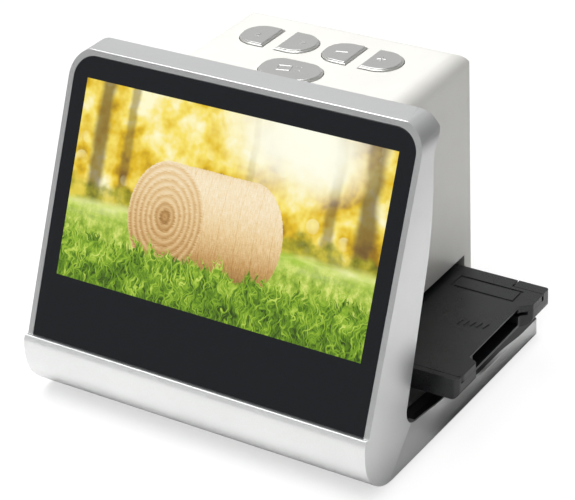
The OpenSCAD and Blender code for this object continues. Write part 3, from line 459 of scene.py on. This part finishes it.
def softened(node, width, wide=0.0, share=None):
    """A merged copy of a CAD node whose sharp edges are rounded over, width in millimetres.

    Edges for which share(x, y, z) of their middle is above 0 are first rounded by that share of wide.
    """
    sharp = math.radians(SHARP)
    mesh = frame["nodes"][node].data.copy()
    form = bmesh.new()
    form.from_mesh(mesh)
    bmesh.ops.remove_doubles(form, verts=form.verts, dist=MERGE * MM)
    bmesh.ops.dissolve_limit(form, angle_limit=math.radians(FLAT), verts=form.verts, edges=form.edges)
    if share:
        weights = form.edges.layers.float.new("bevel_weight_edge")
        for edge in form.edges:
            if edge.calc_face_angle(0.0) > sharp:
                edge[weights] = share(*((edge.verts[0].co + edge.verts[1].co) * 0.5 / MM))
    for face in form.faces:
        face.smooth = True
    for edge in form.edges:
        edge.smooth = edge.calc_face_angle(math.pi) <= sharp
    form.to_mesh(mesh)
    form.free()
    piece = add_object(node + "_moulded", mesh)
    if share:
        rounding = piece.modifiers.new("wide_rounding", "BEVEL")
        rounding.width = wide * MM
        rounding.segments = 5
        rounding.limit_method = "WEIGHT"
        rounding.harden_normals = True
    bevel = piece.modifiers.new("rounded_edges", "BEVEL")
    bevel.width = width * MM
    bevel.segments = 3
    bevel.limit_method = "ANGLE"
    bevel.angle_limit = sharp
    bevel.harden_normals = True
    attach(piece, BODY_OF[node])
    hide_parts(node)
    return piece


def raised_mark(name, strokes, height, body, slot, half_width=0.3, lift=0.16):
    """Rounded beads along paths on a level face, with all sizes in millimetres.

    Around a path point p(t) with the level direction n across it, the bead is
    p + r(t) * half_width * cos(a) * n + r(t) * lift * sin(a) upwards, for a once round, and
    r(t) = sqrt(1 - s * s), where s rises from 0 to 1 over the last half_width of each end.
    """
    sides, end_rings, step, blunt = 12, 5, 0.25, 0.995
    vertices, faces = [], []
    around = np.linspace(0.0, 2.0 * math.pi, sides, endpoint=False)
    for path in strokes:
        corners = np.array(path, float)
        runs = np.linalg.norm(np.diff(corners, axis=0), axis=1)
        marks = np.concatenate([[0.0], np.cumsum(runs)])
        length = marks[-1]
        ends = half_width * (1.0 - np.cos(np.linspace(0.12, math.pi / 2, end_rings)))
        middle = np.linspace(half_width, length - half_width, max(3, int(length / step)))
        t = np.concatenate([ends[:-1], middle, length - ends[-2::-1]])
        s = np.clip(1.0 - np.minimum(t, length - t) / half_width, 0.0, blunt)
        thick = np.sqrt(1.0 - s * s)[:, None]
        x, y = (np.interp(t, marks, corners[:, k]) for k in (0, 1))
        dx, dy = np.gradient(x, t), np.gradient(y, t)
        size = np.hypot(dx, dy)
        across_x, across_y = (-dy / size)[:, None], (dx / size)[:, None]
        grid = np.stack([x[:, None] + thick * half_width * np.cos(around) * across_x,
                         y[:, None] + thick * half_width * np.cos(around) * across_y,
                         height + thick * lift * np.sin(around)], -1)
        first, rows = len(vertices), len(t)
        vertices += grid.reshape(-1, 3).tolist()
        for i in range(rows - 1):
            for j in range(sides):
                k = (j + 1) % sides
                faces.append([first + i * sides + j, first + i * sides + k,
                              first + (i + 1) * sides + k, first + (i + 1) * sides + j][::-1])
        faces.append([first + j for j in range(sides)])
        faces.append([first + (rows - 1) * sides + j for j in range(sides)][::-1])
    mesh = bpy.data.meshes.new(name)
    mesh.from_pydata((np.array(vertices) * MM).tolist(), [], faces)
    form = bmesh.new()
    form.from_mesh(mesh)
    bmesh.ops.recalc_face_normals(form, faces=form.faces)
    form.to_mesh(mesh)
    form.free()
    mesh.shade_smooth()
    mesh.materials.append(FINISHES[slot])
    piece = add_object(name, mesh)
    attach(piece, body)
    return piece


def turned(path, x, y, angle):
    """Path points turned about their own middle and set at x, y."""
    c, s = math.cos(math.radians(angle)), math.sin(math.radians(angle))
    return [(x + c * a - s * b, y + s * a + c * b) for a, b in path]


def frame_share(x, y, z):
    """1 on the arms' upper outer edges, fading out towards the slab, and 0.75 at the chin's ends."""
    chin_side, chin_rear, chin_fade = 61.0, -42.0, 6.0
    arm_side, arm_front, arm_fade = 63.0, -22.0, 24.0
    if abs(x) > chin_side and y < chin_rear and 3.0 < z < 23.5:
        return 0.75 * min(1.0, (chin_rear - y) / chin_fade)
    if abs(x) < arm_side or y < arm_front or not 7.0 < z < 15.5:
        return 0.0
    return min(1.0, (y - arm_front) / arm_fade)


# Width of the rounding over the sharp edges of the pieces that show, in millimetres
ROUNDED = {
    "screen_glass": 0.2, "upper_housing": 0.35, "screen_back_cover": 0.25, "base_plate": 0.3,
    "holder_base": 0.25, "holder_lid": 0.22, "light_box": 0.3, "holder_guide": 0.3,
    "back_button": 0.35, "forward_button": 0.35, "minus_button": 0.35, "plus_button": 0.35,
    "scan_button": 0.35,
}

# Each key's sign: its strokes about its middle, that middle's place, and half a stroke's width
SIGN_TURN = 14.0
SIGNS = {
    "back": ([[(0.9, 1.1), (-0.9, 0.0), (0.9, -1.1)]], (-24.8, 31.3), 0.3),
    "forward": ([[(-0.9, 1.1), (0.9, 0.0), (-0.9, -1.1)]], (-8.6, 32.6), 0.3),
    "minus": ([[(-2.2, 0.0), (2.2, 0.0)]], (6.1, 32.2), 0.3),
    "plus": ([[(-1.7, 0.0), (1.7, 0.0)], [(0.0, -1.7), (0.0, 1.7)]], (19.9, 32.9), 0.3),
    "scan": ([[(-4.0, 1.6), (-4.0, -1.6), (0.4, -1.6), (0.4, 1.6), (-4.0, 1.6)],
              [(2.0, 1.5), (2.0, 0.9)], [(2.0, -0.9), (2.0, -1.5)],
              [(3.6, 1.5), (3.6, 0.9)], [(3.6, -0.9), (3.6, -1.5)]], (-2.2, 14.6), 0.25),
}

# The lid's mark: a row of slanting strokes, by its place, turn, pitch, and half a stroke's extent
LID_MARK_PLACE, LID_MARK_TURN = (62.0, 12.6), 8.0
LID_MARK_PITCH, LID_MARK_HALF = 2.1, (0.5, 1.6)

for node in frame["nodes"]:
    clothe(node)
softened("front_frame", 0.4, wide=1.7, share=frame_share)
for node, width in ROUNDED.items():
    softened(node, width)
for key, (strokes, place, half_width) in SIGNS.items():
    raised_mark(key + "_mark", [turned(path, *place, SIGN_TURN) for path in strokes], KEY_TOP,
                key + "_button_key", "silver_key", half_width)
slant, rise = LID_MARK_HALF
raised_mark("lid_mark", [turned([(k * LID_MARK_PITCH - slant, -rise), (k * LID_MARK_PITCH + slant, rise)],
                                *LID_MARK_PLACE, LID_MARK_TURN) for k in (-2, -1, 0, 1, 2)],
            HOLDER_TOP, "holder_cover", "holder_plastic", 0.42, 0.3)


# ---- Studio ---------------------------------------------------------------------------

def grey(level):
    return (level, level, level, 1.0)


def studio_floor():
    """A white sweep that keeps the soft shadow; it glows white to the camera, and in gloss it carries
    painted shade and painted light.
    """
    reach, chin_y, arm_x = 4, -50.0, 65.0
    mesh = bpy.data.meshes.new("studio_floor")
    mesh.from_pydata([(-reach, -reach, 0), (reach, -reach, 0), (reach, reach, 0), (-reach, reach, 0)],
                     [], [(0, 1, 2, 3)])
    floor = add_object("studio_floor", mesh)
    f = Finish("white_sweep", Roughness=0.9, Emission_Strength=1.0, Specular_IOR_Level=0.0)
    camera = f.node("ShaderNodeLightPath", output="Is Camera Ray")
    x, y, _ = f.split(f.place())
    front, right = (chin_y - y).rise(-2.0, 8.0), x - arm_x
    # In gloss, painted shade and painted light: darker beside the arm, a little darker far out, and a
    # painted glow in front of the chin and between
    beside = y.rise(-15.0, -3.0) * y.rise(85.0, 0.0) * right.rise(26.0, 8.0)
    shade = (beside * 0.64).most(right.rise(55.0, 95.0) * 0.17)
    near = right.rise(2.0, 12.0) * right.rise(80.0, 40.0) * (1.0 - beside)
    gloss_base = f.mix(shade, paint(236, 236, 235), grey(0.0))
    gloss_glow = f.mix(front.most(near), grey(0.0), grey(0.16))
    # To the camera: a white glow with a soft shadow, which a stronger glow paints fainter clear of the arm
    clear = right.rise(-9.0, 3.0)
    camera_base = f.mix(clear, grey(0.45), grey(0.15))
    camera_glow = f.mix(clear, grey(0.6), grey(0.92))
    f.set(Base_Color=f.mix(camera, gloss_base, camera_base),
          Emission_Color=f.mix(camera, gloss_glow, camera_glow))
    mesh.materials.append(f.material)


def soft_light(name, place, target, size, watts):
    lamp = bpy.data.lights.new(name, "AREA")
    lamp.shape = "RECTANGLE"
    lamp.size, lamp.size_y = size
    lamp.energy = watts
    holder = add_object(name, lamp)
    holder.location = place
    holder.rotation_euler = (Vector(target) - Vector(place)).to_track_quat("-Z", "Y").to_euler()


def studio_world():
    """Pale surroundings: brighter behind, darker at the front and right, white to the camera."""
    world = bpy.data.worlds.new("studio_world")
    world.use_nodes = True
    graph = Graph(world.node_tree)
    graph.tree.nodes.clear()
    rightward, rearward, _ = graph.split(graph.node("ShaderNodeTexCoord", output="Generated"))
    level = rearward.rise(-0.9, 0.6, 0.34, 0.72) * rightward.rise(-0.2, 0.8, 1.0, 0.29)
    seen = level.most(graph.node("ShaderNodeLightPath", output="Is Camera Ray"))
    sky = graph.node("ShaderNodeBackground", None, {"Strength": seen})
    end = graph.tree.nodes.new("ShaderNodeOutputWorld")
    graph.tree.links.new(sky.socket, end.inputs["Surface"])
    bpy.context.scene.world = world


studio_floor()
studio_world()
soft_light("top_softbox", (-0.25, -0.15, 0.95), (0.0, 0.0, 0.05), (0.9, 0.7), 9.0)
soft_light("edge_softbox", (0.32, -0.62, 0.93), (0.0, 0.0, 0.1), (0.35, 0.3), 0.7)


# ---- Camera ---------------------------------------------------------------------------

# Where it stands about its aim, in degrees and metres
AZIMUTH, ELEVATION, ROLL = 34.781, 29.488, -3.625
AIM, DISTANCE = (0.0, -0.0135, 0.052), 0.67432
# Its lens, in pixels of a view of this size, and the point of that view on its axis
VIEW_WIDTH, VIEW_HEIGHT = 575.0, 500.0
FOCAL_LENGTH = 2183.35
AXIS_X, AXIS_Y = 254.464, 243.965
SENSOR_WIDTH = 36.0


def camera_view():
    """A long lens from the front right and above, rolled a little."""
    azimuth, elevation, roll = (math.radians(a) for a in (AZIMUTH, ELEVATION, ROLL))
    back = Vector((math.sin(azimuth) * math.cos(elevation), -math.cos(azimuth) * math.cos(elevation),
                   math.sin(elevation)))
    level = Vector((math.cos(azimuth), math.sin(azimuth), 0.0))
    upright = back.cross(level)
    right = level * math.cos(roll) + upright * math.sin(roll)
    above = upright * math.cos(roll) - level * math.sin(roll)
    lens = bpy.data.cameras.new("camera")
    lens.lens = FOCAL_LENGTH * SENSOR_WIDTH / VIEW_WIDTH
    lens.sensor_width = SENSOR_WIDTH
    lens.shift_x = (VIEW_WIDTH / 2 - AXIS_X) / VIEW_WIDTH
    lens.shift_y = (AXIS_Y - VIEW_HEIGHT / 2) / VIEW_WIDTH
    camera = add_object("camera", lens)
    turn = Matrix((right, above, back)).transposed().to_4x4()
    camera.matrix_world = Matrix.Translation(Vector(AIM) + back * DISTANCE) @ turn
    bpy.context.scene.camera = camera


camera_view()
bpy.context.scene.view_settings.view_transform = "Standard"
